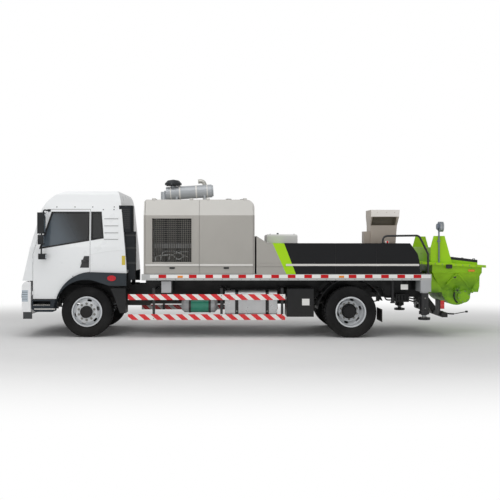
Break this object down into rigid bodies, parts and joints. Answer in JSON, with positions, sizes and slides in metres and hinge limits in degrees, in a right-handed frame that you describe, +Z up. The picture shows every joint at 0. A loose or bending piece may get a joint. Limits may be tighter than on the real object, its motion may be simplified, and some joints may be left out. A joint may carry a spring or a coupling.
{
  "type": "truck-mounted concrete line pump",
  "caption": "Truck-mounted concrete line pump with tilt cab, housed power unit, low pump cover, rear hopper with grate and agitators, and rear outriggers.",
  "frame": {"origin": "centre of the bounding box's bottom, on the ground under the wheels", "axes": "+X to the rear of the truck, where the hopper is; +Y to its right side; +Z up"},
  "size_m": [9.326, 2.89, 3.2357],
  "materials": {
    "cab_paint": "gloss",
    "trim_plastic": "satin",
    "glass": "gloss",
    "frame_paint": "satin",
    "machine_steel": "satin",
    "tyre_rubber": "matte",
    "rim_silver": "satin",
    "hood_paint": "satin",
    "cover_black": "satin",
    "cowl_paint": "satin",
    "hopper_lime": "satin",
    "deck_paint": "satin",
    "guard_paint": "satin",
    "lamp_lens": "gloss",
    "aluminium": "satin",
    "seat_cloth": "matte",
    "rail_steel": "satin"
  },
  "bodies": {
    "truck": {"chassis_frame": "frame_paint", "front_axle": "machine_steel", "rear_axle": "machine_steel", "drive_line": "machine_steel", "front_bumper": "cab_paint", "headlamps": "lamp_lens", "step_boxes": "trim_plastic", "mudguards": "frame_paint", "side_guards": "guard_paint", "fuel_tank": "aluminium", "air_tank": "machine_steel", "tool_boxes": "frame_paint", "deck_frame": "deck_paint", "hood_shell": "hood_paint", "power_unit": "machine_steel", "air_cleaner": "hood_paint", "exhaust_stack": "rail_steel", "rear_cover": "cover_black", "cooler_cowl": "cowl_paint", "handrail": "rail_steel", "pump_cylinders": "machine_steel", "hopper": "hopper_lime", "outlet_pipe": "machine_steel", "work_lamp": "trim_plastic", "outrigger_beams": "frame_paint", "rear_bumper": "frame_paint"},
    "knuckle_left": {"knuckle_left": "machine_steel"},
    "knuckle_right": {"knuckle_right": "machine_steel"},
    "tie_rod": {"tie_rod": "machine_steel"},
    "wheel_front_left": {"rim_front_left": "rim_silver", "tyre_front_left": "tyre_rubber"},
    "wheel_front_right": {"rim_front_right": "rim_silver", "tyre_front_right": "tyre_rubber"},
    "wheel_rear_left": {"rim_rear_left": "rim_silver", "tyre_rear_left": "tyre_rubber"},
    "wheel_rear_right": {"rim_rear_right": "rim_silver", "tyre_rear_right": "tyre_rubber"},
    "cab": {"cab_shell": "cab_paint", "cab_glass": "glass", "cab_arches": "trim_plastic", "cab_interior": "trim_plastic", "seats": "seat_cloth", "intake_snorkel": "trim_plastic"},
    "cab_door_left": {"door_left": "cab_paint", "door_glass_left": "glass", "mirror_left": "trim_plastic"},
    "cab_door_right": {"door_right": "cab_paint", "door_glass_right": "glass", "mirror_right": "trim_plastic"},
    "hood_door_front_left": {"hood_door_front_left": "hood_paint"},
    "hood_door_front_right": {"hood_door_front_right": "hood_paint"},
    "hood_door_rear_left": {"hood_door_rear_left": "hood_paint"},
    "hood_door_rear_right": {"hood_door_rear_right": "hood_paint"},
    "hopper_grate": {"hopper_grate": "frame_paint"},
    "agitator_left": {"agitator_left": "machine_steel"},
    "agitator_right": {"agitator_right": "machine_steel"},
    "outrigger_leg_left": {"outrigger_leg_left": "rail_steel"},
    "outrigger_leg_right": {"outrigger_leg_right": "rail_steel"}
  },
  "joints": [
    {"name": "steer_left", "type": "hinge", "parent": "truck", "child": "knuckle_left", "pos_m": [-3.303, -0.79, 0.506], "axis": [0, 0, 1], "range_deg": [-35, 35]},
    {"name": "steer_right", "type": "hinge", "parent": "truck", "child": "knuckle_right", "pos_m": [-3.303, 0.79, 0.506], "axis": [0, 0, 1], "range_deg": [-35, 35]},
    {"name": "tie_rod_pin", "type": "hinge", "parent": "knuckle_left", "child": "tie_rod", "pos_m": [-3.083, -0.79, 0.395], "axis": [0, 0, 1], "range_deg": [-35, 35]},
    {"name": "roll_front_left", "type": "hinge", "parent": "knuckle_left", "child": "wheel_front_left", "pos_m": [-3.303, -0.975, 0.506], "axis": [0, 1, 0], "continuous": true},
    {"name": "roll_front_right", "type": "hinge", "parent": "knuckle_right", "child": "wheel_front_right", "pos_m": [-3.303, 0.975, 0.506], "axis": [0, 1, 0], "continuous": true},
    {"name": "roll_rear_left", "type": "hinge", "parent": "truck", "child": "wheel_rear_left", "pos_m": [1.897, -0.92, 0.506], "axis": [0, 1, 0], "continuous": true},
    {"name": "roll_rear_right", "type": "hinge", "parent": "truck", "child": "wheel_rear_right", "pos_m": [1.897, 0.92, 0.506], "axis": [0, 1, 0], "continuous": true},
    {"name": "cab_tilt", "type": "hinge", "parent": "truck", "child": "cab", "pos_m": [-4.593, 0, 1.095], "axis": [0, -1, 0], "range_deg": [0, 45]},
    {"name": "cab_door_swing_left", "type": "hinge", "parent": "cab", "child": "cab_door_left", "pos_m": [-4.35, -1.196, 1.2], "axis": [0, 0, -1], "range_deg": [0, 70]},
    {"name": "cab_door_swing_right", "type": "hinge", "parent": "cab", "child": "cab_door_right", "pos_m": [-4.35, 1.196, 1.2], "axis": [0, 0, 1], "range_deg": [0, 70]},
    {"name": "hood_door_lift_front_left", "type": "hinge", "parent": "truck", "child": "hood_door_front_left", "pos_m": [-1.63, -1.067, 2.738], "axis": [-1, 0, 0], "range_deg": [0, 65]},
    {"name": "hood_door_lift_front_right", "type": "hinge", "parent": "truck", "child": "hood_door_front_right", "pos_m": [-1.63, 1.067, 2.738], "axis": [1, 0, 0], "range_deg": [0, 65]},
    {"name": "hood_door_lift_rear_left", "type": "hinge", "parent": "truck", "child": "hood_door_rear_left", "pos_m": [-0.56, -1.067, 2.738], "axis": [-1, 0, 0], "range_deg": [0, 65]},
    {"name": "hood_door_lift_rear_right", "type": "hinge", "parent": "truck", "child": "hood_door_rear_right", "pos_m": [-0.56, 1.067, 2.738], "axis": [1, 0, 0], "range_deg": [0, 65]},
    {"name": "grate_lift", "type": "hinge", "parent": "truck", "child": "hopper_grate", "pos_m": [3.635, 0, 1.6], "axis": [0, -1, 0], "range_deg": [0, 70]},
    {"name": "agitator_turn_left", "type": "hinge", "parent": "truck", "child": "agitator_left", "pos_m": [4.137, -0.6, 0.9], "axis": [0, 1, 0], "continuous": true},
    {"name": "agitator_turn_right", "type": "hinge", "parent": "truck", "child": "agitator_right", "pos_m": [4.137, 0.6, 0.9], "axis": [0, 1, 0], "continuous": true},
    {"name": "leg_slide_left", "type": "slide", "parent": "truck", "child": "outrigger_leg_left", "axis": [0, 0, -1], "range_m": [0, 0.34]},
    {"name": "leg_slide_right", "type": "slide", "parent": "truck", "child": "outrigger_leg_right", "axis": [0, 0, -1], "range_m": [0, 0.34]}
  ],
  "couplings": [
    {"joint": "steer_right", "follows": "steer_left", "ratio": 1},
    {"joint": "tie_rod_pin", "follows": "steer_left", "ratio": -1}
  ]
}
